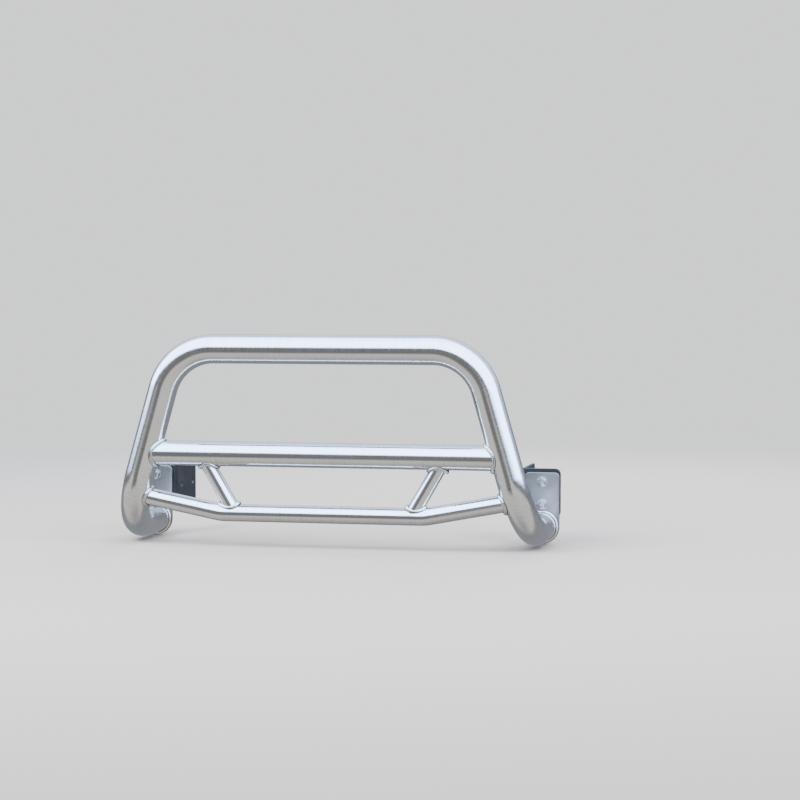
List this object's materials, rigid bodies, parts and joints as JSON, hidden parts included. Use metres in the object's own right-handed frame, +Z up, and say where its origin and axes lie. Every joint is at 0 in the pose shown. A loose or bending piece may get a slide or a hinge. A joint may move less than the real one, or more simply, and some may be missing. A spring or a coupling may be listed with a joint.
{
  "type": "front grille guard",
  "caption": "Tubular front grille guard: a bent hoop with an upper cross tube, a lower cross tube and slanting struts, on plates that bolt through slots to frame brackets.",
  "frame": {"origin": "on the centre line, midway between the left and right frame brackets' rail-hole pairs", "axes": "+X to the right as seen from in front of the guard, +Y to the rear of the vehicle, +Z up. Left and right in names are as seen from in front."},
  "size_m": [0.972, 0.3977, 0.4637],
  "materials": {
    "polished_stainless_tube": "polished stainless steel tube, fine polishing marks along and around it",
    "weld_bead": "rippled weld bead, faint heat tint",
    "satin_stainless_plate": "satin stainless plate",
    "black_coating": "fine-textured black powder coat",
    "plated_fastener": "bright zinc plate"
  },
  "bodies": {
    "frame_brackets": {"left_frame_bracket": "black_coating", "right_frame_bracket": "black_coating"},
    "guard": {"left_front_washers": "plated_fastener", "left_hex_bolts": "plated_fastener", "left_hex_nuts": "plated_fastener", "left_lower_cross_weld": "weld_bead", "left_mounting_plate": "satin_stainless_plate", "left_plate_weld": "weld_bead", "left_rear_washers": "plated_fastener", "left_spring_washers": "plated_fastener", "left_strut": "polished_stainless_tube", "left_strut_foot_weld": "weld_bead", "left_strut_top_weld": "weld_bead", "left_upper_cross_weld": "weld_bead", "lower_cross_tube": "polished_stainless_tube", "main_hoop": "polished_stainless_tube", "right_front_washers": "plated_fastener", "right_hex_bolts": "plated_fastener", "right_hex_nuts": "plated_fastener", "right_lower_cross_weld": "weld_bead", "right_mounting_plate": "satin_stainless_plate", "right_plate_weld": "weld_bead", "right_rear_washers": "plated_fastener", "right_spring_washers": "plated_fastener", "right_strut": "polished_stainless_tube", "right_strut_foot_weld": "weld_bead", "right_strut_top_weld": "weld_bead", "right_upper_cross_weld": "weld_bead", "upper_cross_tube": "polished_stainless_tube"}
  },
  "joints": [
    {"name": "height_setting", "type": "slide", "parent": "frame_brackets", "child": "guard", "axis": [0, 0, 1], "range_m": [-0.008, 0.008]}
  ]
}
